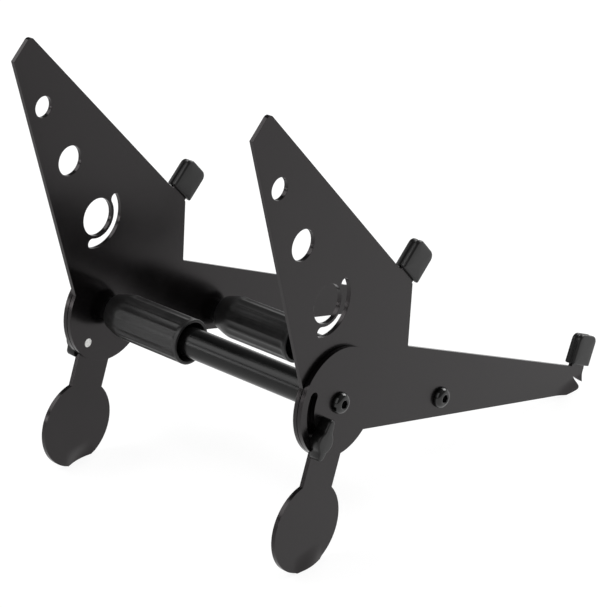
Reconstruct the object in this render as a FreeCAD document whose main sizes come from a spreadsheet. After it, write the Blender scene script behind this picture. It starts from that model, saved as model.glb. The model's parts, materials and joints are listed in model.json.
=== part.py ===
import FreeCAD, Part
import math
import os
import Sketcher

# Desktop gear stand: two plate sides, two telescopic bars with twist grips, two swinging legs.
# X runs across the stand, Y forward along the arms and Z up; the stand rests on Z = 0.
# Every plate is drawn in its own YZ plane, measured from the leg pivot.

# Driving sizes, in millimetres and degrees
SIZES = {
    # where the plates and the two bars stand
    "panel_gap": 194.0,
    "plate": 3.0,
    "pivot_height": 102.6,
    "pivot_back": 105.394,
    "bar_forward": 103.5,
    "bar_drop": 43.0,
    # outline of a side panel, from the leg pivot
    "knee_forward": 71.0,
    "knee_up": 8.3,
    "riser_length": 42.7,
    "riser_angle": 83.2,
    "slope_length": 201.8,
    "slope_angle": 51.4,
    "tip_width": 19.7,
    "tip_angle": 40.0,
    "heel_back": 21.5,
    "heel_drop": 16.4,
    "arm_length": 218.0,
    "arm_angle": 27.0,
    "arm_under_angle": 18.0,
    "arm_nose": 9.7,
    "notch_back": 10.8,
    "notch_drop": 6.9,
    "foot_front": 257.7,
    "foot_length": 14.4,
    "foot_corner": 5.0,
    "hub_radius": 36.0,
    "tip_round": 3.5,
    "knee_round": 1.5,
    # holes in a side panel
    "hole_line_forward": 5.94,
    "hole_line_down": 49.11,
    "hole_line_angle": 66.6,
    "hole_small": 14.0,
    "hole_middle": 20.0,
    "hole_large": 25.5,
    "hole_middle_step": 47.0,
    "hole_large_step": 98.1,
    "arc_slot_ring": 2.0,
    "arc_slot_width": 6.6,
    "arc_slot_start": -112.0,
    "arc_slot_sweep": 136.0,
    # tongues and their rubber caps
    "tongue_width": 16.0,
    "tongue_height": 19.0,
    "tab_setback": 9.1,
    "lip_setback": 8.3,
    "cap_width": 20.4,
    "cap_height": 19.0,
    "cap_thickness": 7.4,
    "cap_lift": 3.4,
    "cap_corner": 4.0,
    "cap_edge": 0.9,
    "cap_groove_width": 1.8,
    "cap_groove_depth": 0.5,
    "cap_clearance": 0.1,
    # legs
    "leg_reach": 81.3,
    "leg_lean": 24.0,
    "leg_neck": 29.0,
    "paddle_radius": 30.0,
    "sole_width": 22.0,
    "pivot_washer": 0.5,
    "washer_radius": 17.0,
    # clamp screw of a leg
    "clamp_radius": 27.1,
    "clamp_angle": 217.5,
    "clamp_stud": 6.0,
    "clamp_slot_clearance": 0.4,
    "clamp_slot_back": 14.0,
    "clamp_slot_forward": 68.0,
    "stud_fit": 0.08,
    "knob_length": 29.5,
    "knob_end_width": 5.0,
    "knob_root_width": 12.0,
    "knob_hub_radius": 7.5,
    "knob_height": 7.5,
    "knob_edge": 1.2,
    "stud_in_knob": 5.5,
    # telescopic bars
    "outer_tube": 20.0,
    "inner_tube": 16.0,
    "tube_wall": 1.5,
    "plug_length": 22.0,
    "plug_fit": 0.03,
    "glide_head": 6.0,
    "glide_stem": 12.0,
    "glide_fit": 0.1,
    "end_gap": 0.3,
    # twist grip and its clutch
    "grip_gap": 6.0,
    "grip_length": 68.7,
    "grip_radius": 15.3,
    "grip_nose": 12.5,
    "grip_nose_radius": 12.2,
    "grip_mouth_radius": 13.2,
    "grip_mouth": 12.0,
    "grip_lip": 4.0,
    "grip_rim": 3.0,
    "grip_bore_clearance": 0.6,
    "flutes": 16,
    "flute_radius": 5.0,
    "flute_depth": 0.55,
    "cone_small": 10.4,
    "cone_large": 12.6,
    "cone_length": 20.0,
    "clutch_clearance": 0.3,
    "collet_tail": 2.0,
    "collet_fit": 0.05,
    "collet_slit": 1.5,
    "collet_slit_length": 16.0,
    "collar_length": 32.0,
    "collar_lip": 3.0,
    "collar_fit": 0.03,
    # button-head screws
    "screw": 8.0,
    "screw_fit": 0.1,
    "screw_grip": 18.0,
    "head_radius": 7.0,
    "head_height": 4.4,
    "head_dome": 3.6,
    "socket_flats": 5.0,
    "socket_depth": 2.6,
}

NEAR_ZERO = 1e-6
ROUND_STEPS = 3
BEND_STEPS = 6
SIDES = {"right": 1, "left": -1}
BARS = ("rear", "front")

doc = FreeCAD.newDocument("gear_stand")
sheet = doc.addObject("Spreadsheet::Sheet", "Sizes")
for row, (alias, value) in enumerate(SIZES.items(), start=1):
    sheet.set(f"A{row}", alias.replace("_", " "))
    sheet.set(f"B{row}", str(value))
    sheet.setAlias(f"B{row}", alias)
doc.recompute()
nodes = []


def amount(expression):
    """The number that an expression over the sheet comes to."""
    return float(probe.evalExpression(expression))


probe = doc.addObject("App::FeaturePython", "Probe")


def cosine(angle):
    return f"cos(({angle}) * 1deg)"


def sine(angle):
    return f"sin(({angle}) * 1deg)"


# Sketch helpers

def new_body(label):
    body = doc.addObject("PartDesign::Body", label)
    body.Label = label
    nodes.append(body)
    return body


def new_sketch(body, name, role, offset="0"):
    """A sketch on one of the body's own origin planes, moved along its normal."""
    sketch = body.newObject("Sketcher::SketchObject", f"{body.Name}_{name}")
    plane = [feature for feature in body.Origin.OriginFeatures if feature.Role == role][0]
    sketch.AttachmentSupport = [(plane, "")]
    sketch.MapMode = "FlatFace"
    sketch.setExpression("AttachmentOffset.Base.z", offset)
    return sketch


def bind(sketch, constraint, expression):
    index = sketch.addConstraint(constraint)
    sketch.setExpression(f"Constraints[{index}]", expression)


def pin(sketch, geometry, position, across, up):
    """Hold one point of a sketch at two measures from the sketch's origin."""
    for kind, axis, expression in (("DistanceX", -2, across), ("DistanceY", -1, up)):
        value = amount(expression)
        if abs(value) < NEAR_ZERO:
            sketch.addConstraint(Sketcher.Constraint("PointOnObject", geometry, position, axis))
        else:
            bind(sketch, Sketcher.Constraint(kind, -1, 1, geometry, position, value), expression)


def polygon(sketch, corners):
    """A closed run of straight lines through corners given as pairs of expressions."""
    points = [FreeCAD.Vector(amount(across), amount(up), 0) for across, up in corners]
    first = sketch.GeometryCount
    for start, end in zip(points, points[1:] + points[:1]):
        sketch.addGeometry(Part.LineSegment(start, end))
    for step, corner in enumerate(corners):
        after = (step + 1) % len(corners)
        sketch.addConstraint(Sketcher.Constraint("Coincident", first + step, 2, first + after, 1))
        pin(sketch, first + step, 1, *corner)


def circle(sketch, across, up, radius):
    centre = FreeCAD.Vector(amount(across), amount(up), 0)
    index = sketch.addGeometry(Part.Circle(centre, FreeCAD.Vector(0, 0, 1), amount(radius)))
    pin(sketch, index, 3, across, up)
    bind(sketch, Sketcher.Constraint("Radius", index, amount(radius)), radius)


def arc_slot(sketch, across, up, radius, width, start, sweep):
    """A slot of even width along an arc, with round ends, between two angles in degrees."""
    end = f"({start}) + ({sweep})"
    centre = FreeCAD.Vector(amount(across), amount(up), 0)
    normal = FreeCAD.Vector(0, 0, 1)
    half = f"({width}) / 2"
    angles = [math.radians(amount(start)), math.radians(amount(end))]
    arcs = []
    for reach in (f"({radius}) + {half}", f"({radius}) - {half}"):
        rim = Part.ArcOfCircle(Part.Circle(centre, normal, amount(reach)), *angles)
        arcs.append(sketch.addGeometry(rim))
        pin(sketch, arcs[-1], 3, across, up)
        bind(sketch, Sketcher.Constraint("Radius", arcs[-1], amount(reach)), reach)
    for angle, turn, position in ((start, math.pi, 1), (end, 0.0, 2)):
        middle = (f"({across}) + ({radius}) * {cosine(angle)}", f"({up}) + ({radius}) * {sine(angle)}")
        spot = FreeCAD.Vector(amount(middle[0]), amount(middle[1]), 0)
        facing = math.radians(amount(angle)) + turn
        cap = Part.ArcOfCircle(Part.Circle(spot, normal, amount(half)), facing, facing + math.pi)
        index = sketch.addGeometry(cap)
        outer_end, inner_end = (2, 1) if position == 1 else (1, 2)
        sketch.addConstraint(Sketcher.Constraint("Tangent", arcs[0], position, index, outer_end))
        sketch.addConstraint(Sketcher.Constraint("Tangent", arcs[1], position, index, inner_end))
        bind(sketch, Sketcher.Constraint("DistanceY", -1, 1, index, 3, amount(middle[1])), middle[1])


# Feature helpers

def pad(body, sketch, length, reverse=False):
    feature = body.newObject("PartDesign::Pad", f"{sketch.Name}_pad")
    feature.Profile = sketch
    feature.setExpression("Length", length)
    feature.Reversed = reverse
    doc.recompute()
    return feature


def pocket(body, sketch, length, reverse=False):
    """Cut a sketch into the body, and make sure that it took something away."""
    before = body.Shape.Volume
    feature = body.newObject("PartDesign::Pocket", f"{sketch.Name}_cut")
    feature.Profile = sketch
    feature.setExpression("Length", length)
    feature.Reversed = reverse
    doc.recompute()
    if body.Shape.Volume > before - NEAR_ZERO:
        raise ValueError(f"{sketch.Name} cuts nothing")
    return feature


def turned(label, profile):
    """A body turned about its own X axis from a profile of (along, radius) pairs."""
    body = new_body(label)
    sketch = new_sketch(body, "profile", "XY_Plane")
    polygon(sketch, profile)
    feature = body.newObject("PartDesign::Revolution", f"{label}_turned")
    feature.Profile = sketch
    feature.ReferenceAxis = (sketch, ["H_Axis"])
    feature.Angle = 360
    doc.recompute()
    return body


def ease_edges(body, name, size, chosen, kind="Fillet"):
    """Round or chamfer the edges of the body's last feature that a test picks."""
    base = body.Tip
    names = [f"Edge{number}" for number, edge in enumerate(base.Shape.Edges, start=1) if chosen(edge)]
    feature = body.newObject(f"PartDesign::{kind}", f"{body.Name}_{name}")
    feature.Base = (base, names)
    feature.setExpression("Radius" if kind == "Fillet" else "Size", size)
    doc.recompute()


def quarter_turn(across, up, radius, start=0):
    """Corners along a quarter of a circle, from a start angle in degrees, for a round in few flats."""
    angles = [start + 90 * step / ROUND_STEPS for step in range(ROUND_STEPS + 1)]
    return [
        (f"{across} + ({radius}) * {cosine(angle)}", f"{up} + ({radius}) * {sine(angle)}")
        for angle in angles
    ]


def soft_corner(before, corner, after, share):
    """Points along a smooth bend in place of a corner, starting and ending at a share of its two edges."""
    points = []
    for step in range(BEND_STEPS + 1):
        onward = step / BEND_STEPS
        pulls = (f"{(1 - onward) ** 2} * ({share})", f"{onward ** 2} * ({share})")
        points.append(tuple(
            f"({middle}) + {pulls[0]} * (({old}) - ({middle})) + {pulls[1]} * (({new}) - ({middle}))"
            for old, middle, new in zip(before, corner, after)))
    return points


def across_plate(*corners):
    """A test for the straight edges that run through the plate at given corners."""
    places = [(amount(along), amount(up)) for along, up in corners]

    def chosen(edge):
        box = edge.BoundBox
        if box.YLength > NEAR_ZERO or box.ZLength > NEAR_ZERO:
            return False
        return any(abs(box.YMin - y) + abs(box.ZMin - z) < 0.01 for y, z in places)

    return chosen


def place(body, x, y, z, turn="0"):
    """Stand a body at a place in the stand, turned about X."""
    body.Placement = FreeCAD.Placement(
        FreeCAD.Vector(0, 0, 0), FreeCAD.Rotation(FreeCAD.Vector(1, 0, 0), amount(turn)))
    for axis, expression in (("x", x), ("y", y), ("z", z)):
        body.setExpression(f"Placement.Base.{axis}", expression)
    if turn != "0":
        body.setExpression("Placement.Rotation.Angle", turn)


# Shared places, all measured from the leg pivot in the plane of a plate
PIVOT_Y = "-Sizes.pivot_back + 0"
PIVOT_Z = "Sizes.pivot_height"
BAR_PLACES = {"rear": ("0", "0"), "front": ("Sizes.bar_forward", "-Sizes.bar_drop")}
KNEE = ("Sizes.knee_forward", "Sizes.knee_up")
RISER_TOP = (
    f"{KNEE[0]} + Sizes.riser_length * {cosine('Sizes.riser_angle')}",
    f"{KNEE[1]} + Sizes.riser_length * {sine('Sizes.riser_angle')}",
)


def on_slope(along, out):
    """A point at a distance up the slope from the riser and a distance out from it."""
    return (
        f"{RISER_TOP[0]} - ({along}) * {cosine('Sizes.slope_angle')} + ({out}) * {sine('Sizes.slope_angle')}",
        f"{RISER_TOP[1]} + ({along}) * {sine('Sizes.slope_angle')} + ({out}) * {cosine('Sizes.slope_angle')}",
    )


def on_arm(along, out):
    """A point at a distance down the arm from the knee and a distance out from its top edge."""
    return (
        f"{KNEE[0]} + ({along}) * {cosine('Sizes.arm_angle')} + ({out}) * {sine('Sizes.arm_angle')}",
        f"{KNEE[1]} - ({along}) * {sine('Sizes.arm_angle')} + ({out}) * {cosine('Sizes.arm_angle')}",
    )


TIP_FRONT = on_slope("Sizes.slope_length", "0")
TIP_REAR = (
    f"{TIP_FRONT[0]} - Sizes.tip_width * {cosine('Sizes.tip_angle')}",
    f"{TIP_FRONT[1]} - Sizes.tip_width * {sine('Sizes.tip_angle')}",
)
HEEL = ("-Sizes.heel_back", "-Sizes.heel_drop")
GROUND = "-Sizes.pivot_height"
TAB_MIDDLE = "Sizes.tab_setback"
LIP_MIDDLE = "Sizes.arm_length - Sizes.lip_setback"


def hole_at(step):
    """A point along the line of holes that runs down the wing from its tip."""
    return (
        f"{TIP_FRONT[0]} + Sizes.hole_line_forward + ({step}) * {cosine('Sizes.hole_line_angle')}",
        f"{TIP_FRONT[1]} - Sizes.hole_line_down - ({step}) * {sine('Sizes.hole_line_angle')}",
    )


CLAMP = (
    f"Sizes.clamp_radius * {cosine('Sizes.clamp_angle')}",
    f"Sizes.clamp_radius * {sine('Sizes.clamp_angle')}",
)


def side_panel(side, sign):
    """A flat plate side: a pointed wing, a sloped arm and a round heel about the leg pivot."""
    body = new_body(f"{side}_panel")
    reverse = sign < 0
    outline = new_sketch(body, "outline", "YZ_Plane")
    notch = on_arm("Sizes.arm_length - Sizes.notch_back", "-Sizes.notch_drop")
    polygon(outline, [
        TIP_REAR, TIP_FRONT, RISER_TOP, KNEE,
        on_arm("Sizes.arm_length", "0"), on_arm("Sizes.arm_length", "-Sizes.arm_nose"), notch, HEEL,
    ])
    pad(body, outline, "Sizes.plate", reverse)
    ease_edges(body, "tip_round", "Sizes.tip_round", across_plate(TIP_FRONT))
    ease_edges(body, "knee_round", "Sizes.knee_round", across_plate(KNEE))
    # under the notch the arm runs down to a short flat foot, and back along its lower edge to the hub
    foot = new_sketch(body, "foot", "YZ_Plane")
    foot_front = ("Sizes.foot_front", GROUND)
    foot_rear = ("Sizes.foot_front - Sizes.foot_length", GROUND)
    under_hub = ("0", f"{GROUND} + ({foot_rear[0]}) * tan(Sizes.arm_under_angle * 1deg)")
    bend = soft_corner(notch, foot_front, foot_rear, "Sizes.foot_corner / Sizes.foot_length")
    polygon(foot, [notch, *bend, foot_rear, under_hub, ("0", "0")])
    pad(body, foot, "Sizes.plate", reverse)
    hub = new_sketch(body, "hub", "YZ_Plane")
    circle(hub, "0", "0", "Sizes.hub_radius")
    pad(body, hub, "Sizes.plate", reverse)
    tongues = new_sketch(body, "tongues", "YZ_Plane")
    half = "Sizes.tongue_width / 2"
    for edge, middle in ((on_slope, TAB_MIDDLE), (on_arm, LIP_MIDDLE)):
        low = "-Sizes.cap_lift"
        polygon(tongues, [
            edge(f"{middle} - {half}", low),
            edge(f"{middle} + {half}", low),
            edge(f"{middle} + {half}", "Sizes.tongue_height"),
            edge(f"{middle} - {half}", "Sizes.tongue_height"),
        ])
    pad(body, tongues, "Sizes.plate", reverse)
    holes = new_sketch(body, "holes", "YZ_Plane")
    for step, size in (
        ("0", "Sizes.hole_small"),
        ("Sizes.hole_middle_step", "Sizes.hole_middle"),
        ("Sizes.hole_large_step", "Sizes.hole_large"),
    ):
        circle(holes, *hole_at(step), f"{size} / 2")
    for bar in BARS:
        circle(holes, *BAR_PLACES[bar], "Sizes.screw / 2 + Sizes.screw_fit")
    circle(holes, *CLAMP, "Sizes.clamp_stud / 2 + Sizes.stud_fit")
    pocket(body, holes, "Sizes.plate", not reverse)
    slot = new_sketch(body, "arc_slot", "YZ_Plane")
    arc_slot(
        slot, *hole_at("Sizes.hole_large_step"),
        "Sizes.hole_large / 2 + Sizes.arc_slot_ring + Sizes.arc_slot_width / 2",
        "Sizes.arc_slot_width", "Sizes.arc_slot_start", "Sizes.arc_slot_sweep",
    )
    pocket(body, slot, "Sizes.plate", not reverse)
    place(body, f"{sign} * Sizes.panel_gap / 2", PIVOT_Y, PIVOT_Z)


def rubber_cap(label, sign, middle, turn):
    """A moulded rubber sleeve, round at its corners, pushed over a tongue of the plate."""
    body = new_body(label)
    half_width = "Sizes.cap_width / 2"
    outside = new_sketch(body, "outside", "YZ_Plane", "-Sizes.cap_thickness / 2")
    bottom = "0"
    polygon(outside, [
        (f"-{half_width}", bottom), (half_width, bottom),
        (half_width, "Sizes.cap_height"), (f"-{half_width}", "Sizes.cap_height"),
    ])
    pad(body, outside, "Sizes.cap_thickness")
    ease_edges(body, "corners", "Sizes.cap_corner", across_plate(
        (half_width, "Sizes.cap_height"), (f"-{half_width}", "Sizes.cap_height")))
    half_thickness = amount("Sizes.cap_thickness / 2")
    foot = amount(bottom)

    def rim(edge):
        box = edge.BoundBox
        on_face = box.XLength < NEAR_ZERO and abs(abs(box.XMin) - half_thickness) < NEAR_ZERO
        return on_face and box.ZMax > foot + NEAR_ZERO

    ease_edges(body, "soft_rim", "Sizes.cap_edge", rim, "Chamfer")
    # a shallow groove runs round the rim, where the two halves of the mould met
    groove = new_sketch(body, "groove", "YZ_Plane", "-Sizes.cap_groove_width / 2")
    clear = "Sizes.cap_groove_depth"
    polygon(groove, [
        (f"-{half_width} - {clear}", f"-2 * {clear}"), (f"{half_width} + {clear}", f"-2 * {clear}"),
        (f"{half_width} + {clear}", f"Sizes.cap_height + {clear}"),
        (f"-{half_width} - {clear}", f"Sizes.cap_height + {clear}"),
    ])
    bend = (f"{half_width} - Sizes.cap_corner", "Sizes.cap_height - Sizes.cap_corner")
    bend_radius = f"Sizes.cap_corner - {clear}"
    polygon(groove, [
        (f"-({half_width} - {clear})", f"-{clear}"), (f"{half_width} - {clear}", f"-{clear}"),
        *quarter_turn(*bend, bend_radius), *quarter_turn(f"-({bend[0]})", bend[1], bend_radius, 90),
    ])
    pocket(body, groove, "Sizes.cap_groove_width", True)
    slot = new_sketch(body, "slot", "XY_Plane", bottom)
    half_slot = "Sizes.plate / 2 + Sizes.cap_clearance"
    half_tongue = "Sizes.tongue_width / 2 + Sizes.cap_clearance"
    polygon(slot, [
        (f"-({half_slot})", f"-({half_tongue})"), (half_slot, f"-({half_tongue})"),
        (half_slot, half_tongue), (f"-({half_slot})", half_tongue),
    ])
    pocket(body, slot, "Sizes.tongue_height - Sizes.cap_lift + Sizes.cap_clearance", True)
    x = f"{sign} * (Sizes.panel_gap + Sizes.plate) / 2"
    place(body, x, f"{PIVOT_Y} + {middle[0]}", f"{PIVOT_Z} + {middle[1]}", turn)


LEG_OUT = "Sizes.panel_gap / 2 + Sizes.plate + Sizes.pivot_washer"


def leg(side, sign):
    """A plate leg: a round head on the pivot, a straight neck and a round paddle on the ground."""
    body = new_body(f"{side}_leg")
    reverse = sign < 0
    across = (cosine("Sizes.leg_lean"), sine("Sizes.leg_lean"))
    paddle = (f"-Sizes.leg_reach * {across[1]}", f"-Sizes.leg_reach * {across[0]}")
    head = new_sketch(body, "head", "YZ_Plane")
    circle(head, "0", "0", "Sizes.hub_radius")
    pad(body, head, "Sizes.plate", reverse)
    neck = new_sketch(body, "neck", "YZ_Plane")
    side_step = (f"Sizes.leg_neck / 2 * {across[0]}", f"Sizes.leg_neck / 2 * {across[1]}")
    polygon(neck, [
        (side_step[0], f"-{side_step[1]}"),
        (f"{paddle[0]} + {side_step[0]}", f"{paddle[1]} - {side_step[1]}"),
        (f"{paddle[0]} - {side_step[0]}", f"{paddle[1]} + {side_step[1]}"),
        (f"-{side_step[0]}", side_step[1]),
    ])
    pad(body, neck, "Sizes.plate", reverse)
    disc = new_sketch(body, "paddle", "YZ_Plane")
    circle(disc, *paddle, "Sizes.paddle_radius")
    pad(body, disc, "Sizes.plate", reverse)
    # a short skirt carries the paddle down to a flat sole on the ground
    half_sole = "Sizes.sole_width / 2"
    under = f"{GROUND} - Sizes.plate"
    skirt = new_sketch(body, "skirt", "YZ_Plane")
    polygon(skirt, [
        (f"{paddle[0]} - {half_sole}", paddle[1]), (f"{paddle[0]} + {half_sole}", paddle[1]),
        (f"{paddle[0]} + {half_sole}", under), (f"{paddle[0]} - {half_sole}", under),
    ])
    pad(body, skirt, "Sizes.plate", reverse)
    sole = new_sketch(body, "sole", "YZ_Plane")
    rear = f"{paddle[0]} - Sizes.paddle_radius"
    front = f"{paddle[0]} + Sizes.paddle_radius"
    deep = f"{GROUND} - Sizes.paddle_radius"
    polygon(sole, [(rear, GROUND), (front, GROUND), (front, deep), (rear, deep)])
    pocket(body, sole, "Sizes.plate", not reverse)
    holes = new_sketch(body, "pivot_hole", "YZ_Plane")
    circle(holes, "0", "0", "Sizes.screw / 2 + Sizes.screw_fit")
    pocket(body, holes, "Sizes.plate", not reverse)
    slot = new_sketch(body, "clamp_slot", "YZ_Plane")
    arc_slot(
        slot, "0", "0", "Sizes.clamp_radius", "Sizes.clamp_stud + 2 * Sizes.clamp_slot_clearance",
        "Sizes.clamp_angle - Sizes.clamp_slot_forward", "Sizes.clamp_slot_forward + Sizes.clamp_slot_back",
    )
    pocket(body, slot, "Sizes.plate", not reverse)
    place(body, f"{sign} * ({LEG_OUT})", PIVOT_Y, PIVOT_Z)


def pivot_washer(side, sign):
    """A thin nylon washer that keeps the leg's paint off the panel's."""
    bore = "Sizes.screw / 2 + Sizes.screw_fit"
    thick = f"{sign} * Sizes.pivot_washer"
    body = turned(f"{side}_pivot_washer", [
        ("0", bore), (thick, bore), (thick, "Sizes.washer_radius"), ("0", "Sizes.washer_radius")])
    place(body, f"{sign} * (Sizes.panel_gap / 2 + Sizes.plate)", PIVOT_Y, PIVOT_Z)


def button_screw(label, sign, seat, length, bar):
    """A domed socket-head screw: head outside the plate, shank through it into the bar's plug."""
    shank = "Sizes.screw / 2"
    shoulder = ("Sizes.head_height - Sizes.head_dome", "Sizes.head_radius - Sizes.head_dome")
    dome = quarter_turn(*shoulder, "Sizes.head_dome")
    body = turned(label, [
        (f"{sign} * Sizes.head_height", "0"), *[(f"{sign} * ({along})", out) for along, out in dome],
        ("0", "Sizes.head_radius"), ("0", shank), (f"-{sign} * ({length})", shank),
        (f"-{sign} * ({length})", "0")])
    socket = new_sketch(body, "socket", "YZ_Plane", f"{sign} * Sizes.head_height")
    corner = f"Sizes.socket_flats / {cosine('30')} / 2"
    polygon(socket, [
        (f"{corner} * {cosine(60 * step + 15)}", f"{corner} * {sine(60 * step + 15)}") for step in range(6)])
    pocket(body, socket, "Sizes.socket_depth", sign < 0)
    y, z = BAR_PLACES[bar]
    place(body, f"{sign} * ({seat})", f"{PIVOT_Y} + {y}", f"{PIVOT_Z} + {z}")


def clamp_screw(side, sign):
    """A wing knob moulded on a threaded stud that passes the leg's slot and ends in the panel."""
    knob = new_body(f"{side}_thumb_knob")
    reverse = sign < 0
    hub = new_sketch(knob, "hub", "YZ_Plane")
    circle(hub, "0", "0", "Sizes.knob_hub_radius")
    pad(knob, hub, "Sizes.knob_height", reverse)
    wings = new_sketch(knob, "wings", "YZ_Plane")
    tip = ("Sizes.knob_end_width / 2", "Sizes.knob_length / 2")
    polygon(wings, [
        ("Sizes.knob_root_width / 2", "0"), tip, (f"-{tip[0]}", tip[1]),
        ("-Sizes.knob_root_width / 2", "0"), (f"-{tip[0]}", f"-{tip[1]}"), (tip[0], f"-{tip[1]}"),
    ])
    pad(knob, wings, "Sizes.knob_height", reverse)
    top = sign * amount("Sizes.knob_height")

    def crown(edge):
        box = edge.BoundBox
        return abs(box.XMin - top) < NEAR_ZERO and abs(box.XMax - top) < NEAR_ZERO

    ease_edges(knob, "soft_top", "Sizes.knob_edge", crown, "Chamfer")
    x = f"{sign} * ({LEG_OUT} + Sizes.plate)"
    where = (f"{PIVOT_Y} + {CLAMP[0]}", f"{PIVOT_Z} + {CLAMP[1]}")
    bore = new_sketch(knob, "stud_bore", "YZ_Plane")
    circle(bore, "0", "0", "Sizes.clamp_stud / 2 + Sizes.plug_fit")
    pocket(knob, bore, "Sizes.stud_in_knob", not reverse)
    place(knob, x, *where, "-Sizes.leg_lean")
    stud = new_body(f"{side}_thumb_stud")
    rod = new_sketch(stud, "rod", "YZ_Plane", f"{sign} * Sizes.stud_in_knob")
    circle(rod, "0", "0", "Sizes.clamp_stud / 2")
    through = "Sizes.plate * 2 + Sizes.pivot_washer"
    pad(stud, rod, f"Sizes.stud_in_knob + {through}", not reverse)
    place(stud, x, *where)


def telescopic_bar(bar):
    """Outer tube on the right panel, inner tube on the left one, and the clutch that locks them."""
    y, z = BAR_PLACES[bar]
    where = (f"{PIVOT_Y} + {y}", f"{PIVOT_Z} + {z}")
    right = "Sizes.panel_gap / 2"
    left = "-Sizes.panel_gap / 2"
    outer = "Sizes.outer_tube / 2"
    outer_bore = "(Sizes.outer_tube / 2 - Sizes.tube_wall)"
    inner = "Sizes.inner_tube / 2"
    inner_bore = "(Sizes.inner_tube / 2 - Sizes.tube_wall)"
    grip_end = f"({left} + Sizes.grip_gap)"
    collet_start = f"({grip_end} + Sizes.grip_lip + Sizes.clutch_clearance)"
    collet_end = f"({grip_end} + Sizes.grip_lip + Sizes.cone_length + Sizes.collet_tail)"
    collar_start = f"({collet_end} + Sizes.clutch_clearance)"
    tube_start = f"({collar_start} + Sizes.collar_lip)"
    inner_end = f"({right} - Sizes.plug_length - Sizes.end_gap - Sizes.glide_head)"

    def ring(label, start, end, bore, radius):
        body = turned(label, [(start, bore), (end, bore), (end, radius), (start, radius)])
        place(body, "0", *where)
        return body

    ring(f"{bar}_outer_tube", tube_start, right, outer_bore, outer)
    ring(f"{bar}_inner_tube", left, inner_end, inner_bore, inner)
    thread = "Sizes.screw / 2 + Sizes.plug_fit"
    ring(f"{bar}_outer_plug", f"{right} - Sizes.plug_length", right, thread, f"{outer_bore} - Sizes.plug_fit")
    ring(f"{bar}_inner_plug", left, f"{left} + Sizes.plug_length", thread, f"{inner_bore} - Sizes.plug_fit")
    glide = turned(f"{bar}_glide_bush", [
        (f"{inner_end} - Sizes.glide_stem", "0"),
        (f"{inner_end} - Sizes.glide_stem", f"{inner_bore} - Sizes.plug_fit"),
        (inner_end, f"{inner_bore} - Sizes.plug_fit"),
        (inner_end, f"{outer_bore} - Sizes.glide_fit"),
        (f"{inner_end} + Sizes.glide_head", f"{outer_bore} - Sizes.glide_fit"),
        (f"{inner_end} + Sizes.glide_head", "0"),
    ])
    place(glide, "0", *where)
    # the collar is bonded over the outer tube's end and carries the grip's thread
    collar = turned(f"{bar}_clutch_collar", [
        (collar_start, f"{inner} + Sizes.clutch_clearance"),
        (tube_start, f"{inner} + Sizes.clutch_clearance"),
        (tube_start, f"{outer} + Sizes.collar_fit"),
        (f"{collar_start} + Sizes.collar_length", f"{outer} + Sizes.collar_fit"),
        (f"{collar_start} + Sizes.collar_length", "Sizes.cone_large - Sizes.clutch_clearance"),
        (collar_start, "Sizes.cone_large - Sizes.clutch_clearance"),
    ])
    place(collar, "0", *where)
    # the collet is a slit cone that the grip squeezes on the inner tube
    collet = turned(f"{bar}_collet", [
        (collet_start, f"{inner} + Sizes.collet_fit"),
        (collet_end, f"{inner} + Sizes.collet_fit"),
        (collet_end, "Sizes.cone_large - Sizes.clutch_clearance"),
        (f"{collet_end} - Sizes.collet_tail", "Sizes.cone_large - Sizes.clutch_clearance"),
        (collet_start, "Sizes.cone_small - Sizes.clutch_clearance"),
    ])
    slits = new_sketch(collet, "slits", "YZ_Plane", collet_start)
    half_slit = "Sizes.collet_slit / 2"
    span = "Sizes.cone_large"
    polygon(slits, [
        (f"-{half_slit}", f"-{span}"), (half_slit, f"-{span}"), (half_slit, span), (f"-{half_slit}", span)])
    pocket(collet, slits, "Sizes.collet_slit_length", True)
    cross_slits = new_sketch(collet, "cross_slits", "YZ_Plane", collet_start)
    polygon(cross_slits, [
        (f"-{span}", f"-{half_slit}"), (span, f"-{half_slit}"), (span, half_slit), (f"-{span}", half_slit)])
    pocket(collet, cross_slits, "Sizes.collet_slit_length", True)
    place(collet, "0", *where)
    # the grip is a fluted nut: narrow nose, cone for the collet, thread bore and open mouth
    mouth = f"{grip_end} + Sizes.grip_length"
    grip = turned(f"{bar}_grip", [
        (grip_end, f"{inner} + Sizes.grip_bore_clearance"),
        (f"{grip_end} + Sizes.grip_lip", f"{inner} + Sizes.grip_bore_clearance"),
        (f"{grip_end} + Sizes.grip_lip", "Sizes.cone_small"),
        (f"{grip_end} + Sizes.grip_lip + Sizes.cone_length", "Sizes.cone_large"),
        (f"{mouth} - Sizes.grip_mouth", "Sizes.cone_large"),
        (f"{mouth} - Sizes.grip_mouth", "Sizes.grip_mouth_radius"),
        (mouth, "Sizes.grip_mouth_radius"),
        (mouth, "Sizes.grip_radius"),
        (f"{grip_end} + Sizes.grip_nose", "Sizes.grip_radius"),
        (grip_end, "Sizes.grip_nose_radius"),
    ])
    flute = new_sketch(grip, "flute", "YZ_Plane", f"{grip_end} + Sizes.grip_nose")
    circle(flute, "0", "Sizes.grip_radius + Sizes.flute_radius - Sizes.flute_depth", "Sizes.flute_radius")
    cut = pocket(grip, flute, "Sizes.grip_length - Sizes.grip_nose - Sizes.grip_rim", True)
    pattern = grip.newObject("PartDesign::PolarPattern", f"{grip.Name}_flutes")
    pattern.Originals = [cut]
    axis = [feature for feature in grip.Origin.OriginFeatures if feature.Role == "X_Axis"][0]
    pattern.Axis = (axis, [""])
    pattern.Angle = 360
    pattern.setExpression("Occurrences", "Sizes.flutes")
    grip.Tip = pattern
    doc.recompute()
    place(grip, "0", *where)


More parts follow.
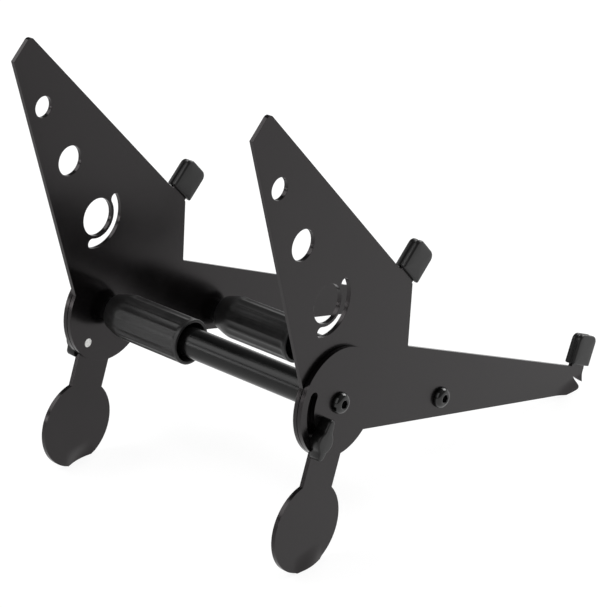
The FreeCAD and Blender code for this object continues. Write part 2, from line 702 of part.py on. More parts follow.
for side, sign in SIDES.items():
    side_panel(side, sign)
    rubber_cap(f"{side}_tab_cap", sign, on_slope(TAB_MIDDLE, "Sizes.cap_lift"), "-Sizes.slope_angle")
    rubber_cap(f"{side}_lip_cap", sign, on_arm(LIP_MIDDLE, "Sizes.cap_lift"), "-Sizes.arm_angle")
    leg(side, sign)
    pivot_washer(side, sign)
    through = "Sizes.plate * 2 + Sizes.pivot_washer + Sizes.screw_grip"
    button_screw(f"{side}_pivot_screw", sign, f"{LEG_OUT} + Sizes.plate", through, "rear")
    through = "Sizes.plate + Sizes.screw_grip"
    button_screw(f"{side}_bar_screw", sign, "Sizes.panel_gap / 2 + Sizes.plate", through, "front")
    clamp_screw(side, sign)
for bar in BARS:
    telescopic_bar(bar)
doc.recompute()

# Nothing is written unless every object came out sound
for item in doc.Objects:
    if "Invalid" in item.State or "Error" in item.State:
        raise ValueError(f"{item.Label} failed: {item.State}")
for body in nodes:
    if body.Shape.isNull() or not body.Shape.isValid() or len(body.Shape.Solids) != 1:
        raise ValueError(f"{body.Label} has no sound solid")
os.makedirs("parts", exist_ok=True)
for body in nodes:
    body.Shape.exportStep(f"parts/{body.Label}.step")
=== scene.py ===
import json
import math

import bmesh
import bpy
import numpy as np
from mathutils import Euler, Matrix, Vector


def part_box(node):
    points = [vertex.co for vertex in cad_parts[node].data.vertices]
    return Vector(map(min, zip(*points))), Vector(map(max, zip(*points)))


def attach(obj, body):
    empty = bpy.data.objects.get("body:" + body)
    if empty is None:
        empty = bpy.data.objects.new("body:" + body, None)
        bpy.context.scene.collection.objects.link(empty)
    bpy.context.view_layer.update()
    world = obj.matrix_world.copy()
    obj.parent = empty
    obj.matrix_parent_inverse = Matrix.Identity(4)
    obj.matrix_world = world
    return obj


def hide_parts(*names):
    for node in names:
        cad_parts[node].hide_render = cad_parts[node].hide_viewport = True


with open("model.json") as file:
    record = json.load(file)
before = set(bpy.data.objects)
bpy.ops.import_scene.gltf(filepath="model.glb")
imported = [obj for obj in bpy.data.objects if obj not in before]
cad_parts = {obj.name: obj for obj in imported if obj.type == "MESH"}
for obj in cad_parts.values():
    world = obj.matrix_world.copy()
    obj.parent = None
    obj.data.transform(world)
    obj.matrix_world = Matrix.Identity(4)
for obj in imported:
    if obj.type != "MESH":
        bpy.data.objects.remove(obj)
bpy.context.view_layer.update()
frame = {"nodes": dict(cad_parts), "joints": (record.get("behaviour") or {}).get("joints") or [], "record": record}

# Side panels: two flat plates cut from 3 mm sheet steel under a satin black powder coat.
# The coat rounds every cut edge a little, so each plate is the CAD solid with its edges eased.
# The toe of each arm is dished outwards a little, so that it stands on a broader edge.
SIDES = {"right": 1, "left": -1}
COAT_EDGE, EDGE_STEPS, SHARP_EDGE = 0.0004, 2, math.radians(40)
SAME_POINT, ON_CUT, FLAT_WITHIN = 1e-6, 1e-7, math.radians(0.6)
TOE_HIGH, TOE_REACH, TOE_MIDDLE, TOE_HALF = 0.0095, 0.0027, 0.152, 0.024
PRESS_LEVELS, PRESS_STATIONS = 9, 13
COAT_BLACK, COAT_THIN = (0.0014, 0.0012, 0.0013, 1.0), (0.0024, 0.0021, 0.0022, 1.0)
COAT_SHINE = (1.0, 0.925, 0.945, 1.0)


class Finish:
    """A node material: one Principled shader with patterns on the piece's own Object coordinates."""

    def __init__(self, name, roughness, metallic=0.0, ior=1.45):
        self.material = bpy.data.materials.new(name)
        self.material.use_nodes = True
        self.tree = self.material.node_tree
        self.shader = self.tree.nodes["Principled BSDF"]
        self.shader.inputs["Roughness"].default_value = roughness
        self.shader.inputs["Metallic"].default_value = metallic
        self.shader.inputs["IOR"].default_value = ior
        self.place = self.tree.nodes.new("ShaderNodeTexCoord").outputs["Object"]

    def node(self, kind, **values):
        """A node of one kind, with its input values filled in by name."""
        made = self.tree.nodes.new(kind)
        for key, value in values.items():
            made.inputs[key.replace("_", " ")].default_value = value
        return made

    def join(self, source, target):
        self.tree.links.new(source, target)

    def speckle(self, size, detail=3.0, stretch=(1.0, 1.0, 1.0)):
        """Cloudy noise with patches about one size across, in metres, drawn out along an axis if asked."""
        spread = self.node("ShaderNodeMapping", Scale=[1.0 / (size * s) for s in stretch])
        self.join(self.place, spread.inputs["Vector"])
        noise = self.node("ShaderNodeTexNoise", Scale=1.0, Detail=detail, Roughness=0.55)
        self.join(spread.outputs["Vector"], noise.inputs["Vector"])
        return noise.outputs["Fac"]

    def tint(self, source, low, high):
        """The base colour runs between two colours over the pattern's middle range."""
        ramp = self.node("ShaderNodeValToRGB")
        for stop, position, colour in zip(ramp.color_ramp.elements, (0.35, 0.65), (low, high)):
            stop.position = position
            stop.color = colour
        self.join(source, ramp.inputs["Fac"])
        self.join(ramp.outputs["Color"], self.shader.inputs["Base Color"])

    def sheen_range(self, source, low, high):
        """The roughness runs between two values over the pattern's middle range."""
        mapped = self.node("ShaderNodeMapRange", From_Min=0.3, From_Max=0.7, To_Min=low, To_Max=high)
        self.join(source, mapped.inputs["Value"])
        self.join(mapped.outputs["Result"], self.shader.inputs["Roughness"])

    def relief(self, source, height, strength):
        """Bump from a pattern, with its height in metres."""
        bump = self.node("ShaderNodeBump", Strength=strength, Distance=height)
        self.join(source, bump.inputs["Height"])
        self.join(bump.outputs["Normal"], self.shader.inputs["Normal"])


powder_coat = Finish("satin_powder_coat", roughness=0.22, ior=1.385)
powder_coat.shader.inputs["Specular Tint"].default_value = COAT_SHINE
coat_cloud = powder_coat.speckle(0.03, 4.0)
powder_coat.tint(coat_cloud, COAT_BLACK, COAT_THIN)
powder_coat.sheen_range(coat_cloud, 0.2, 0.25)
powder_coat.relief(powder_coat.speckle(0.0009, 2.0), height=0.00004, strength=0.2)


def smooth_step(share):
    """Three times the square less twice the cube, level at both ends."""
    share = np.clip(share, 0, 1)
    return share ** 2 * (3 - 2 * share)


def eased_plate(node, body, press):
    """The CAD solid merged into one skin, its flat faces made whole, its sharp edges rounded by a bevel.

    The press of (height, reach, middle, half) dishes the lowest strip outwards. A point moves along X by
    the reach, times the smooth step of its share of the way down the strip, times the power 1.5 of one
    less the square of its distance from the middle over the half width.
    """
    high, reach, middle, half = press
    skin = bmesh.new()
    skin.from_mesh(frame["nodes"][node].data)
    bmesh.ops.remove_doubles(skin, verts=skin.verts, dist=SAME_POINT)
    bmesh.ops.dissolve_limit(
        skin, angle_limit=FLAT_WITHIN, verts=skin.verts, edges=skin.edges, delimit=set())
    for level in np.linspace(0, high, PRESS_LEVELS + 1)[1:]:
        bmesh.ops.bisect_plane(skin, geom=skin.verts[:] + skin.edges[:] + skin.faces[:], dist=ON_CUT,
                               plane_co=(0, 0, level), plane_no=(0, 0, 1))
    for station in np.linspace(middle - half, middle + half, PRESS_STATIONS):
        strip = [face for face in skin.faces if max(end.co.z for end in face.verts) < high + SAME_POINT]
        rims = list({rim for face in strip for rim in face.edges})
        ends = list({end for face in strip for end in face.verts})
        bmesh.ops.bisect_plane(skin, geom=ends + rims + strip, dist=ON_CUT,
                               plane_co=(0, station, 0), plane_no=(0, 1, 0))
    mesh = bpy.data.meshes.new(node + "_eased")
    skin.to_mesh(mesh)
    skin.free()
    place = np.empty(3 * len(mesh.vertices))
    mesh.vertices.foreach_get("co", place)
    place = place.reshape(-1, 3)
    across = np.clip(1 - ((place[:, 1] - middle) / half) ** 2, 0, 1)
    place[:, 0] += reach * smooth_step(1 - place[:, 2] / high) * across ** 1.5
    mesh.vertices.foreach_set("co", place.ravel())
    mesh.polygons.foreach_set("use_smooth", np.ones(len(mesh.polygons), dtype=bool))
    mesh.materials.append(powder_coat.material)
    piece = bpy.data.objects.new(node + "_eased", mesh)
    bpy.context.scene.collection.objects.link(piece)
    bevel = piece.modifiers.new("eased_edges", "BEVEL")
    bevel.width, bevel.segments = COAT_EDGE, EDGE_STEPS
    bevel.limit_method, bevel.angle_limit = "ANGLE", SHARP_EDGE
    flat = piece.modifiers.new("flat_faces", "WEIGHTED_NORMAL")
    flat.mode, flat.weight, flat.keep_sharp = "FACE_AREA", 100, True
    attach(piece, body)
    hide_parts(node)


for side, sign in SIDES.items():
    eased_plate(side + "_panel", side + "_side", press=(TOE_HIGH, sign * TOE_REACH, TOE_MIDDLE, TOE_HALF))

# Rubber caps: moulded sleeves pushed over the four tongues, soft at every edge and a little crowned.
# A groove runs round the rim of each, where the two halves of its mould met.
# Each tongue's root is measured from the leg pivot in Y and Z, with its lean in degrees.
ANCHORS = {joint["name"]: joint.get("pos_m") for joint in frame["joints"]}
PIVOT_Y, PIVOT_Z = ANCHORS["right_leg_swing"][1:]
PANEL_BACK, PANEL_FACE = [corner[0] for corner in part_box("right_panel")]
TONGUES = {"tab": (0.070379, 0.057812, 51.4), "lip": (0.257845, -0.086902, 27.0)}
CAP_HALF, CAP_LOW, CAP_TOP, CAP_THICK = 0.0107, 0.0016, 0.0234, 0.0078
CAP_CORNER, CAP_FOOT, CAP_LEAST_CORNER = 0.0048, 0.001, 0.0003
CAP_ROUND, CAP_CROWN = 0.0013, 0.00025
CROWN_STEPS = ((1.0, 0.006), (0.6, 0.0035))
GROOVE_STEPS = ((0.00125, 0.0), (0.00095, 0.0002), (0.00057, 0.000935), (0.000285, 0.0011))
RUBBER_BLACK, RUBBER_DULL = (0.0022, 0.0021, 0.0021, 1.0), (0.0045, 0.0043, 0.0043, 1.0)
rubber = Finish("cap_rubber", roughness=0.36, ior=1.4)
rubber_cloud = rubber.speckle(0.004)
rubber.tint(rubber_cloud, RUBBER_BLACK, RUBBER_DULL)
rubber.sheen_range(rubber_cloud, 0.32, 0.4)
rubber.relief(rubber.speckle(0.0006, 3.0), height=0.00005, strength=0.25)


def finished(mesh, body, node, finish, crease):
    """Normals outward, smooth shading with sharp creases, then material, body and the node replaced."""
    skin = bmesh.new()
    skin.from_mesh(mesh)
    bmesh.ops.recalc_face_normals(skin, faces=skin.faces)
    skin.to_mesh(mesh)
    skin.free()
    mesh.polygons.foreach_set("use_smooth", np.ones(len(mesh.polygons), dtype=bool))
    mesh.set_sharp_from_angle(angle=math.radians(crease))
    mesh.materials.append(finish.material)
    piece = bpy.data.objects.new(mesh.name, mesh)
    bpy.context.scene.collection.objects.link(piece)
    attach(piece, body)
    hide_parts(node)


def loops_piece(name, loops, body, node, finish, crease):
    """A closed skin over a stack of loops with equal point counts.

    The loops are an array (count, points, 3). Quads join each loop to the next, and triangles close
    the first and last loops on the middle of each. Edges sharper than the crease stay sharp.
    """
    count, around = loops.shape[:2]
    verts = np.vstack([loops.reshape(-1, 3), loops[0].mean(axis=0), loops[-1].mean(axis=0)])
    here = np.arange(count * around).reshape(count, around)
    after = np.roll(here, -1, axis=1)
    quads = np.stack([here[:-1], after[:-1], after[1:], here[1:]], axis=-1).reshape(-1, 4)
    start = np.stack([after[0], here[0], np.full(around, count * around)], axis=-1)
    end = np.stack([here[-1], after[-1], np.full(around, count * around + 1)], axis=-1)
    mesh = bpy.data.meshes.new(name)
    mesh.from_pydata(verts.tolist(), [], quads.tolist() + start.tolist() + end.tolist())
    finished(mesh, body, node, finish, crease)


def rubber_cap(side, sign, tongue):
    """A stack of rounded oblongs across the plate, each one drawn in by its own inset.

    The inset follows a quarter circle at both faces, falls into the groove at the middle, and grows
    over each face, where the crown rises. An oblong is four corner arcs joined by straight runs.
    """
    arc = np.linspace(math.pi / 2, 0, 6)
    crown = np.array(CROWN_STEPS) * (CAP_CROWN, 1) + (CAP_THICK / 2, 0)
    edge = CAP_ROUND * np.column_stack([np.sin(arc) - 1, 1 - np.cos(arc)]) + (CAP_THICK / 2, 0)
    half = np.vstack([crown, edge, GROOVE_STEPS])
    levels = np.vstack([half * (-1, 1), half[::-1]])
    quarter = np.linspace(0, math.pi / 2, 9)
    turn = np.concatenate([quarter + k * math.pi / 2 for k in range(4)])
    inset = levels[:, 1][:, None]
    corner = np.repeat([CAP_CORNER, CAP_CORNER, CAP_FOOT, CAP_FOOT], len(quarter))
    corner = np.clip(corner - inset, CAP_LEAST_CORNER, None)
    right = np.repeat([1, -1, -1, 1], len(quarter))
    along = right * (CAP_HALF - inset - corner) + corner * np.cos(turn)
    upper = np.repeat([True, True, False, False], len(quarter))
    out = np.where(upper, CAP_TOP - inset - corner, CAP_LOW + inset + corner) + corner * np.sin(turn)
    y, z, lean = TONGUES[tongue]
    lean = math.radians(lean)
    loops = np.stack([
        sign * (PANEL_BACK + PANEL_FACE) / 2 + levels[:, 0][:, None] + 0 * along,
        PIVOT_Y + y + along * math.cos(lean) + out * math.sin(lean),
        PIVOT_Z + z - along * math.sin(lean) + out * math.cos(lean)], axis=-1)
    node = f"{side}_{tongue}_cap"
    loops_piece(node + "_moulded", loops, side + "_side", node, rubber, crease=50)


for side, sign in SIDES.items():
    for tongue in TONGUES:
        rubber_cap(side, sign, tongue)

# Legs: the same sheet and coat, a round head on the pivot, a neck and a round paddle.
# Its flat sole is dished outwards a little. A thin nylon washer keeps each leg's coat off its panel's.
SOLE_HIGH, SOLE_REACH, SOLE_HALF = 0.013, 0.002, 0.0135
SOLE_MIDDLE = frame["record"]["mounts"][0]["pos_m"][1]
NYLON_BLACK, NYLON_DULL = (0.006, 0.006, 0.006, 1.0), (0.011, 0.011, 0.011, 1.0)
for side, sign in SIDES.items():
    eased_plate(side + "_leg", side + "_leg", press=(SOLE_HIGH, sign * SOLE_REACH, SOLE_MIDDLE, SOLE_HALF))
nylon = Finish("clutch_nylon", roughness=0.42)
nylon_cloud = nylon.speckle(0.003)
nylon.tint(nylon_cloud, NYLON_BLACK, NYLON_DULL)
nylon.sheen_range(nylon_cloud, 0.38, 0.48)
nylon.relief(nylon.speckle(0.0005), height=0.00003, strength=0.2)


def dress(finish, *nodes):
    """Put a finish on CAD nodes whose shape is already right."""
    for node in nodes:
        data = frame["nodes"][node].data
        data.materials.clear()
        data.materials.append(finish.material)


dress(nylon, "right_pivot_washer", "left_pivot_washer")

# Button-head screws: gloss black steel, a domed head with a hex socket, and a shank down the bar's plug.
# One pair holds the legs and the rear bar, the other pair the front bar. Each is one turned skin.
FRONT_Y, FRONT_Z = ANCHORS["front_grip_twist"][1:]
LEG_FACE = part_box("right_leg")[1][0]
HEAD_RADIUS, HEAD_HEIGHT, HEAD_DOME, HEAD_FLAT = 0.007, 0.0044, 0.0036, 0.0032
SOCKET_FLAT, SOCKET_FLOOR, SOCKET_MOUTH, SOCKET_BEVEL, DRILL_POINT = 0.0025, 0.0018, 0.003, 0.0004, 0.0005
SHANK_RADIUS, SHANK_POINT, SHANK_TAPER = 0.004, 0.0034, 0.0007
EDGE_BREAK, INNER_BREAK = 0.0002, 0.0001
PIVOT_SHANK, BAR_SHANK = 0.0245, 0.021
OXIDE_BLACK, OXIDE_WORN = (0.001, 0.001, 0.001, 1.0), (0.002, 0.002, 0.002, 1.0)
oxide = Finish("gloss_black_screw", roughness=0.1, ior=1.5)
oxide_cloud = oxide.speckle(0.0015)
oxide.tint(oxide_cloud, OXIDE_BLACK, OXIDE_WORN)
oxide.sheen_range(oxide_cloud, 0.08, 0.12)
oxide.relief(oxide_cloud, height=0.00003, strength=0.08)


def button_screw(node, body, sign, seat, y, z, length):
    """A screw turned about X from rings of (height over the seat, radius), hexagonal inside the socket.

    A ring's radius at an angle is the flat's distance over the cosine of the angle from the flat's
    middle inside the socket, and constant elsewhere. The dome is a quarter circle.
    """
    turn = np.linspace(0, 2 * math.pi, 72, endpoint=False)
    hexagon = SOCKET_FLAT / np.cos((turn + math.pi / 12) % (math.pi / 3) - math.pi / 6)
    arc = np.linspace(math.pi / 2, 0, 12)
    socket = np.array([
        (SOCKET_FLOOR - DRILL_POINT, 0.1), (SOCKET_FLOOR, 0.97),
        (SOCKET_FLOOR + INNER_BREAK, 1.0), (HEAD_HEIGHT - SOCKET_BEVEL, 1.0)])
    rim = [(HEAD_HEIGHT - INNER_BREAK, SOCKET_MOUTH), (HEAD_HEIGHT, HEAD_FLAT)]
    dome = HEAD_DOME * np.column_stack([np.sin(arc) - 1, np.cos(arc) - 1]) + (HEAD_HEIGHT, HEAD_RADIUS)
    shank = [(EDGE_BREAK, HEAD_RADIUS), (0.0, HEAD_RADIUS - EDGE_BREAK), (0.0, SHANK_RADIUS),
             (SHANK_TAPER - length, SHANK_RADIUS), (-length, SHANK_POINT), (-length, 0.1 * SHANK_RADIUS)]
    turned = np.vstack([rim, dome, shank])
    high = np.concatenate([socket[:, 0], turned[:, 0]])[:, None] + 0 * turn
    wide = np.vstack([socket[:, 1][:, None] * hexagon, turned[:, 1][:, None] + 0 * turn])
    loops = np.stack([sign * (seat + high), y + wide * np.cos(turn), z + wide * np.sin(turn)], axis=-1)
    loops_piece(node + "_turned", loops, body, node, oxide, crease=32)


for side, sign in SIDES.items():
    button_screw(side + "_pivot_screw", side + "_side", sign, LEG_FACE, PIVOT_Y, PIVOT_Z, PIVOT_SHANK)
    button_screw(side + "_bar_screw", side + "_side", sign, PANEL_FACE, FRONT_Y, FRONT_Z, BAR_SHANK)

# Clamp screws: a moulded wing knob on each side, on a bright zinc stud that ends level with the panel.
# A knob is a tapered bar with a round hub, made as a stack of outlines drawn in towards its rounded top.
CLAMP_Y, CLAMP_Z = ANCHORS["right_thumbscrew_turn"][1:]
KNOB_UP, KNOB_DOWN, KNOB_HIGH, KNOB_ROUND, KNOB_HUB = 0.01475, 0.0118, 0.0075, 0.0012, 0.007
KNOB_ROOT, KNOB_TIP, KNOB_END, KNOB_LEAN = 0.005, 0.0024, 0.0024, math.radians(30.0)
KNOB_FOOT = ((0.0004, -0.0002), (0.0, 0.0001))
STUD_BORE, STUD_DEEP = 0.00303, 0.0055
KNOB_BLACK, KNOB_DULL = (0.0018, 0.0018, 0.0018, 1.0), (0.0036, 0.0036, 0.0036, 1.0)
ZINC_GREY, ZINC_BRIGHT = (0.5, 0.5, 0.49, 1.0), (0.72, 0.72, 0.7, 1.0)
knob_plastic = Finish("knob_plastic", roughness=0.3, ior=1.4)
knob_cloud = knob_plastic.speckle(0.004)
knob_plastic.tint(knob_cloud, KNOB_BLACK, KNOB_DULL)
knob_plastic.sheen_range(knob_cloud, 0.26, 0.34)
knob_plastic.relief(knob_plastic.speckle(0.0005, 2.0), height=0.00003, strength=0.25)
zinc = Finish("bright_zinc", roughness=0.25, metallic=1.0)
zinc_turned = zinc.speckle(0.0004, 2.0, stretch=(1.0, 12.0, 12.0))
zinc.tint(zinc.speckle(0.0015), ZINC_GREY, ZINC_BRIGHT)
zinc.sheen_range(zinc_turned, 0.2, 0.32)
zinc.relief(zinc_turned, height=0.00002, strength=0.2)


def wing_knob(side, sign):
    """The knob's half width falls evenly from root to tip and swells to a circle at the hub.

    The two are blended by the eighth root of the sum of eighth powers, and both ends close as half
    ellipses. Loops step the outline inward along its normals over a quarter circle at the top, and
    two rings at the foot make the bore for the stud.
    """
    swing = np.linspace(-math.pi / 2, math.pi / 2, 61)
    wing = np.where(swing < 0, KNOB_DOWN, KNOB_UP)
    along = wing * np.sin(swing)
    reach = np.abs(along)
    bar = KNOB_ROOT + (KNOB_TIP - KNOB_ROOT) * reach / wing
    bar = bar * np.sqrt(np.clip(1 - (np.clip(reach - wing + KNOB_END, 0, None) / KNOB_END) ** 2, 0, 1))
    hub = np.sqrt(np.clip(KNOB_HUB ** 2 - along ** 2, 0, None))
    half = (bar ** 8 + hub ** 8) ** 0.125
    outline = np.vstack([np.stack([half, along], axis=-1), np.stack([-half, along], axis=-1)[-2:0:-1]])
    tangent = np.roll(outline, -1, axis=0) - np.roll(outline, 1, axis=0)
    normal = np.stack([tangent[:, 1], -tangent[:, 0]], axis=-1)
    normal /= np.linalg.norm(normal, axis=1, keepdims=True)
    arc = np.linspace(math.pi / 2, 0, 7)
    edge = KNOB_ROUND * np.column_stack([np.sin(arc) - 1, 1 - np.cos(arc)]) + (KNOB_HIGH, 0)
    levels = np.vstack([edge, KNOB_FOOT])
    bore = STUD_BORE * outline / np.linalg.norm(outline, axis=1, keepdims=True)
    flat = np.concatenate([outline - levels[:, 1][:, None, None] * normal, [bore, bore]])
    across, up = flat[..., 0], flat[..., 1]
    high = np.append(levels[:, 0], (0.0, STUD_DEEP))[:, None] + 0 * across
    loops = np.stack([
        sign * (LEG_FACE + high),
        CLAMP_Y + across * math.cos(KNOB_LEAN) + up * math.sin(KNOB_LEAN),
        CLAMP_Z - across * math.sin(KNOB_LEAN) + up * math.cos(KNOB_LEAN)], axis=-1)
    node = side + "_thumb_knob"
    loops_piece(node + "_moulded", loops, side + "_thumbscrew", node, knob_plastic, crease=50)


for side, sign in SIDES.items():
    wing_knob(side, sign)
dress(zinc, "right_thumb_stud", "left_thumb_stud")

# Bars: drawn steel tubes under a smooth gloss paint, a thin one sliding in a thick one.
# Fine draw lines run along them under the paint.
TUBE_BLACK, TUBE_THIN = (0.002, 0.002, 0.0021, 1.0), (0.004, 0.004, 0.0039, 1.0)
tube_paint = Finish("gloss_tube_paint", roughness=0.24, ior=1.33)
draw_lines = tube_paint.speckle(0.0006, 2.0, stretch=(60.0, 1.0, 1.0))
tube_paint.tint(tube_paint.speckle(0.02, 3.0), TUBE_BLACK, TUBE_THIN)
tube_paint.sheen_range(draw_lines, 0.22, 0.27)
tube_paint.relief(draw_lines, height=0.00002, strength=0.04)
dress(tube_paint, "rear_outer_tube", "front_outer_tube", "rear_inner_tube", "front_inner_tube")

# Plugs, glide bushes, collars and collets: turned steel and moulded nylon inside the bars.
# They show only in the grips' mouths and at the tube ends.
dress(zinc, "rear_outer_plug", "front_outer_plug", "rear_inner_plug", "front_inner_plug")
dress(nylon, "rear_glide_bush", "front_glide_bush", "rear_clutch_collar", "front_clutch_collar",
      "rear_collet", "front_collet")

# Twist grips: moulded plastic nuts with wide shallow flutes, a smooth tapered nose and a plain rim.
# They turn on the collar's thread. Each is a closed profile turned about the bar, with the flutes pressed in.
GRIP_END, GRIP_MOUTH = [corner[0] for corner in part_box("rear_grip")]
GRIP_LONG, GRIP_RADIUS = GRIP_MOUTH - GRIP_END, 0.0153
NOSE_LONG, NOSE_BLEND, NOSE_POWER, NOSE_RADIUS = 0.0125, 0.002, 1.3, 0.0122
FLUTES, FLUTE_POINTS, FLUTE_DEPTH, FLUTE_SHARE = 16, 16, 0.00055, 0.8
FLUTE_FADE_IN, FLUTE_FADE_OUT, FLUTE_STOP = 0.006, 0.0018, 0.0665
RIM_START, RIM_EDGE = 0.066, 0.0683
MOUTH_BORE, THREAD_BORE, CONE_SMALL, NOSE_BORE = 0.0132, 0.0126, 0.0104, 0.0086
THREAD_END, CONE_END, NOSE_WALL = 0.0567, 0.024, 0.004
GRIP_BLACK, GRIP_DULL = (0.012, 0.0118, 0.0119, 1.0), (0.017, 0.0166, 0.0168, 1.0)
grip_plastic = Finish("grip_plastic", roughness=0.4, ior=1.42)
grip_cloud = grip_plastic.speckle(0.006)
grip_plastic.tint(grip_cloud, GRIP_BLACK, GRIP_DULL)
grip_plastic.sheen_range(grip_cloud, 0.36, 0.46)
grip_plastic.relief(grip_plastic.speckle(0.0005, 2.0), height=0.00003, strength=0.25)


def twist_grip(bar, y, z):
    """Radius over length and angle: the nose rises as a power of a sine quarter to the full radius.

    Each flute takes away a parabola across its share of the pitch, faded in by a smooth step past
    the nose and out before the rim. The bore repeats the CAD solid's steps, with its edges broken.
    """
    turn = np.linspace(0, 2 * math.pi, FLUTES * FLUTE_POINTS, endpoint=False)
    out = np.concatenate([np.linspace(0, NOSE_LONG, 12)[1:], np.linspace(NOSE_LONG, RIM_START, 48)[1:],
                          np.linspace(RIM_START, RIM_EDGE, 8)[1:]])
    nose = np.sin(np.clip(out / (NOSE_LONG + NOSE_BLEND), 0, 1) * math.pi / 2) ** NOSE_POWER
    skin = NOSE_RADIUS + (GRIP_RADIUS - NOSE_RADIUS) * nose
    window = smooth_step((out - NOSE_LONG) / FLUTE_FADE_IN) * smooth_step((FLUTE_STOP - out) / FLUTE_FADE_OUT)
    step = (turn * FLUTES / (2 * math.pi)) % 1 * 2 - 1
    flute = np.clip(1 - (step / FLUTE_SHARE) ** 2, 0, 1)
    fluted = skin[:, None] - FLUTE_DEPTH * window[:, None] * flute
    bore = np.array([
        (GRIP_LONG - 0.0001, GRIP_RADIUS - 0.0002), (GRIP_LONG, GRIP_RADIUS - 0.0005),
        (GRIP_LONG, MOUTH_BORE + 0.0005), (GRIP_LONG - 0.0002, MOUTH_BORE + 0.0001),
        (GRIP_LONG - 0.0005, MOUTH_BORE), (THREAD_END, MOUTH_BORE),
        (THREAD_END, THREAD_BORE), (CONE_END, THREAD_BORE),
        (NOSE_WALL, CONE_SMALL), (NOSE_WALL, NOSE_BORE),
        (0.0002, NOSE_BORE), (0.0, NOSE_BORE + 0.0002),
        (0.0, NOSE_RADIUS - 0.0006), (0.0003, NOSE_RADIUS - 0.0001)])
    high = np.concatenate([out, bore[:, 0]])[:, None] + 0 * turn
    wide = np.vstack([fluted, bore[:, 1][:, None] + 0 * turn])
    verts = np.stack([GRIP_END + high, y + wide * np.cos(turn), z + wide * np.sin(turn)], axis=-1)
    here = np.arange(high.size).reshape(high.shape)
    next_ring, after = np.roll(here, -1, axis=0), np.roll(here, -1, axis=1)
    quads = np.stack([here, after, np.roll(next_ring, -1, axis=1), next_ring], axis=-1).reshape(-1, 4)
    node = bar + "_grip"
    mesh = bpy.data.meshes.new(node + "_fluted")
    mesh.from_pydata(verts.reshape(-1, 3).tolist(), [], quads.tolist())
    finished(mesh, node, node, grip_plastic, crease=40)


twist_grip("rear", PIVOT_Y, PIVOT_Z)
twist_grip("front", FRONT_Y, FRONT_Z)

# Studio: a white floor, a surround that is white low down and grey overhead, four soft lamps and the camera.
# The floor stays white to the eye and in reflections, and keeps the stand's soft shadow.
FLOOR_HALF, FLOOR_GAP = 40.0, 0.0001
FLOOR_GLOW, FLOOR_SHADED, FLOOR_DULL = 0.85, (0.22, 0.22, 0.22, 1.0), (0.8, 0.8, 0.8, 1.0)
corners = np.array([[-1, -1, 0], [1, -1, 0], [1, 1, 0], [-1, 1, 0]]) * FLOOR_HALF - [0, 0, FLOOR_GAP]
floor_mesh = bpy.data.meshes.new("studio_floor")
floor_mesh.from_pydata(corners.tolist(), [], [(0, 1, 2, 3)])
floor = bpy.data.objects.new("studio_floor", floor_mesh)
bpy.context.scene.collection.objects.link(floor)
paper = bpy.data.materials.new("studio_paper")
paper.use_nodes = True
tree = paper.node_tree
tree.nodes.remove(tree.nodes["Principled BSDF"])
path = tree.nodes.new("ShaderNodeLightPath")
seen = path.outputs["Is Camera Ray"]
for other in ("Is Glossy Ray", "Is Transmission Ray"):
    either = tree.nodes.new("ShaderNodeMath")
    either.operation = "MAXIMUM"
    tree.links.new(seen, either.inputs[0])
    tree.links.new(path.outputs[other], either.inputs[1])
    seen = either.outputs[0]
dull = tree.nodes.new("ShaderNodeBsdfDiffuse")
dull.inputs["Color"].default_value = FLOOR_DULL
shaded = tree.nodes.new("ShaderNodeBsdfDiffuse")
shaded.inputs["Color"].default_value = FLOOR_SHADED
glow = tree.nodes.new("ShaderNodeEmission")
glow.inputs["Strength"].default_value = FLOOR_GLOW
bright = tree.nodes.new("ShaderNodeAddShader")
tree.links.new(shaded.outputs[0], bright.inputs[0])
tree.links.new(glow.outputs[0], bright.inputs[1])
choice = tree.nodes.new("ShaderNodeMixShader")
tree.links.new(seen, choice.inputs[0])
tree.links.new(dull.outputs[0], choice.inputs[1])
tree.links.new(bright.outputs[0], choice.inputs[2])
tree.links.new(choice.outputs[0], tree.nodes["Material Output"].inputs["Surface"])
floor_mesh.materials.append(paper)

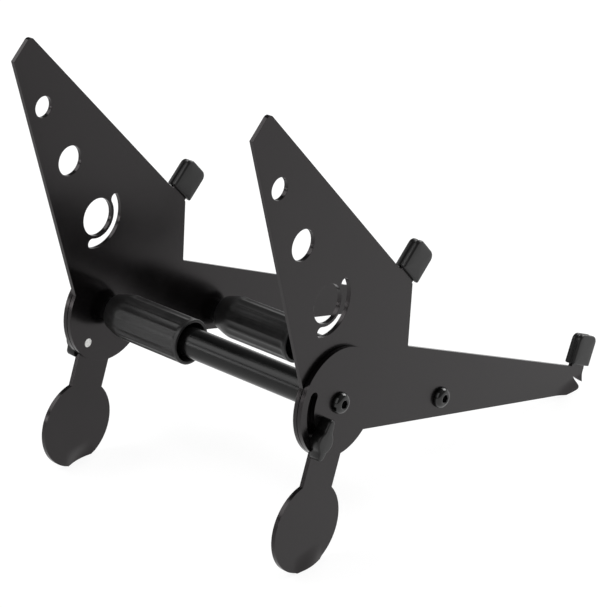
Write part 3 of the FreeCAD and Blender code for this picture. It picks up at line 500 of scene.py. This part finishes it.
WINDOW_SIDE = (0.62, 0.78, 0.0)
ALOFT_RAMP, HEIGHT_RAMP = (-0.3, 0.9, 0.14, 0.3), (0.03, 0.3, 1.0, 0.2)
world = bpy.data.worlds.new("studio_surround")
bpy.context.scene.world = world
world.use_nodes = True
tree = world.node_tree
facing = tree.nodes.new("ShaderNodeTexCoord")
parts = tree.nodes.new("ShaderNodeSeparateXYZ")
tree.links.new(facing.outputs["Generated"], parts.inputs[0])
window = tree.nodes.new("ShaderNodeVectorMath")
window.operation = "DOT_PRODUCT"
window.inputs[1].default_value = WINDOW_SIDE
tree.links.new(facing.outputs["Generated"], window.inputs[0])
aloft = tree.nodes.new("ShaderNodeMapRange")
height = tree.nodes.new("ShaderNodeMapRange")
for ramp, values in ((aloft, ALOFT_RAMP), (height, HEIGHT_RAMP)):
    ramp.interpolation_type = "SMOOTHSTEP"
    for socket, value in zip(("From Min", "From Max", "To Min", "To Max"), values):
        ramp.inputs[socket].default_value = value
tree.links.new(window.outputs["Value"], aloft.inputs["Value"])
tree.links.new(parts.outputs["Z"], height.inputs["Value"])
tree.links.new(aloft.outputs["Result"], height.inputs["To Max"])
tree.nodes["Background"].inputs["Color"].default_value = (1.0, 1.0, 1.0, 1.0)
tree.links.new(height.outputs["Result"], tree.nodes["Background"].inputs["Strength"])

LAMP_AIM = Vector((0.0, 0.0, 0.12))
for name, where, wide, tall, watts in (
    ("key_softbox", (0.12, 1.35, 0.95), 1.4, 0.9, 24.0),
    ("fill_softbox", (0.3, -1.5, 1.5), 2.0, 2.0, 14.0),
    ("side_softbox", (-1.1, -0.75, 1.25), 1.2, 0.9, 10.0),
    ("rim_softbox", (-0.96, -1.22, 0.45), 0.3, 0.3, 1.5),
):
    lamp = bpy.data.lights.new(name, "AREA")
    lamp.shape, lamp.size, lamp.size_y, lamp.energy = "RECTANGLE", wide, tall, watts
    holder = bpy.data.objects.new(name, lamp)
    bpy.context.scene.collection.objects.link(holder)
    turned = (Vector(where) - LAMP_AIM).to_track_quat("Z", "Y")
    holder.matrix_world = Matrix.LocRotScale(Vector(where), turned, None)

CAMERA_PLACE = Vector((0.97716636, -1.10354139, 0.85702819))
CAMERA_TILT, CAMERA_ROLL, CAMERA_TURN = math.radians(62.6597), math.radians(1.4528), math.radians(41.313)
lens = bpy.data.cameras.new("photo_camera")
lens.sensor_width, lens.lens = 36.0, 146.899
camera = bpy.data.objects.new("photo_camera", lens)
bpy.context.scene.collection.objects.link(camera)
camera.matrix_world = Matrix.LocRotScale(CAMERA_PLACE, Euler((CAMERA_TILT, CAMERA_ROLL, CAMERA_TURN)), None)
bpy.context.scene.camera = camera
bpy.context.scene.view_settings.view_transform = "Standard"
